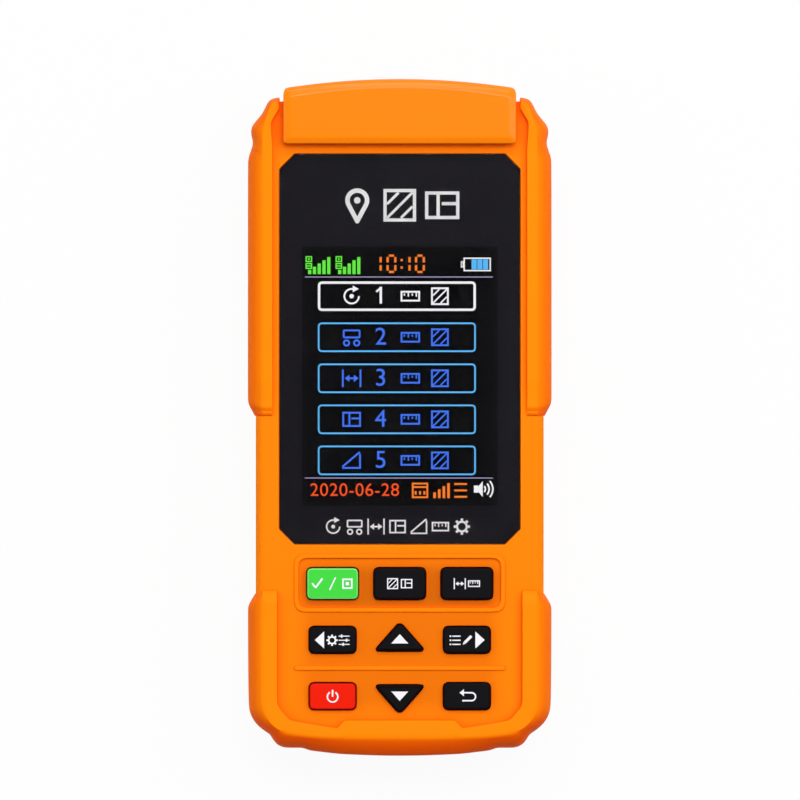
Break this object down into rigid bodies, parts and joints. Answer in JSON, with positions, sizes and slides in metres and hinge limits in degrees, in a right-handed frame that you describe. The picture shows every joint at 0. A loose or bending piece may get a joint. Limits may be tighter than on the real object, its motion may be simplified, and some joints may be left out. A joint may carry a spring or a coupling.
{
  "type": "gps land area meter",
  "caption": "Handheld satellite land area meter: orange guarded case, tall black window with a colour screen, coloured keypad, battery door and covered charging port.",
  "frame": {"origin": "middle of the back, on the surface that the meter lies on", "axes": "+Z from the back to the face, +Y towards the antenna end, +X to the right seen from the face"},
  "size_m": [0.0688, 0.1536, 0.0297],
  "materials": {
    "orange_plastic": "fine matte texture",
    "orange_guard": "satin moulded guard",
    "lens_clear": "clear polished acrylic",
    "lens_print": "black print seen through the lens",
    "lcd_glass": "dark panel glass",
    "key_green": "satin silicone",
    "key_black": "satin silicone",
    "key_red": "satin silicone",
    "grey_rubber": "matte silicone",
    "foam_grey": "closed foam and tape",
    "white_plastic": "light guide and stand",
    "flex_amber": "polyimide film",
    "board_green": "solder mask",
    "chip_black": "moulded epoxy",
    "tin_can": "tinned sheet",
    "antenna_ceramic": "fired ceramic",
    "pack_wrap": "shrink wrap",
    "gold_pin": "gold plate",
    "screw_steel": "zinc plate",
    "insert_brass": "turned brass"
  },
  "bodies": {
    "casing": {"front_shell": "orange_plastic", "rear_shell": "orange_plastic", "shell_seal": "grey_rubber", "antenna_cap": "orange_plastic", "guard_left": "orange_guard", "guard_right": "orange_guard", "guard_bottom": "orange_guard", "display_lens": "lens_clear", "lens_mask": "lens_print", "lens_tape": "foam_grey", "lcd_foam": "foam_grey", "lcd_panel": "lcd_glass", "lcd_backlight": "white_plastic", "lcd_stand": "white_plastic", "lcd_flex": "flex_amber", "keypad_mat": "grey_rubber", "dome_switches": "tin_can", "main_board": "board_green", "processor_chip": "chip_black", "memory_chip": "chip_black", "gnss_module": "tin_can", "patch_antenna": "antenna_ceramic", "buzzer": "chip_black", "usb_socket": "tin_can", "battery_pack": "pack_wrap", "battery_pins": "gold_pin", "case_screws": "screw_steel", "case_inserts": "insert_brass", "board_screws": "screw_steel"},
    "key_confirm": {"key_confirm": "key_green"},
    "key_area": {"key_area": "key_black"},
    "key_distance": {"key_distance": "key_black"},
    "key_left": {"key_left": "key_black"},
    "key_up": {"key_up": "key_black"},
    "key_right": {"key_right": "key_black"},
    "key_power": {"key_power": "key_red"},
    "key_down": {"key_down": "key_black"},
    "key_back": {"key_back": "key_black"},
    "battery_door": {"battery_door": "orange_plastic"},
    "port_cover": {"port_cover": "grey_rubber"}
  },
  "joints": [
    {"name": "key_confirm_press", "type": "slide", "parent": "casing", "child": "key_confirm", "axis": [0, 0, -1], "range_m": [0, 0.0006], "stiffness_N_per_m": 1500},
    {"name": "key_area_press", "type": "slide", "parent": "casing", "child": "key_area", "axis": [0, 0, -1], "range_m": [0, 0.0006], "stiffness_N_per_m": 1500},
    {"name": "key_distance_press", "type": "slide", "parent": "casing", "child": "key_distance", "axis": [0, 0, -1], "range_m": [0, 0.0006], "stiffness_N_per_m": 1500},
    {"name": "key_left_press", "type": "slide", "parent": "casing", "child": "key_left", "axis": [0, 0, -1], "range_m": [0, 0.0006], "stiffness_N_per_m": 1500},
    {"name": "key_up_press", "type": "slide", "parent": "casing", "child": "key_up", "axis": [0, 0, -1], "range_m": [0, 0.0006], "stiffness_N_per_m": 1500},
    {"name": "key_right_press", "type": "slide", "parent": "casing", "child": "key_right", "axis": [0, 0, -1], "range_m": [0, 0.0006], "stiffness_N_per_m": 1500},
    {"name": "key_power_press", "type": "slide", "parent": "casing", "child": "key_power", "axis": [0, 0, -1], "range_m": [0, 0.0006], "stiffness_N_per_m": 1500},
    {"name": "key_down_press", "type": "slide", "parent": "casing", "child": "key_down", "axis": [0, 0, -1], "range_m": [0, 0.0006], "stiffness_N_per_m": 1500},
    {"name": "key_back_press", "type": "slide", "parent": "casing", "child": "key_back", "axis": [0, 0, -1], "range_m": [0, 0.0006], "stiffness_N_per_m": 1500},
    {"name": "battery_door_slide", "type": "slide", "parent": "casing", "child": "battery_door", "axis": [0, -1, 0], "range_m": [0, 0.014]},
    {"name": "port_cover_hinge", "type": "hinge", "parent": "casing", "child": "port_cover", "pos_m": [0, -0.07555, 0.0151], "axis": [1, 0, 0], "range_deg": [0, 95]}
  ]
}
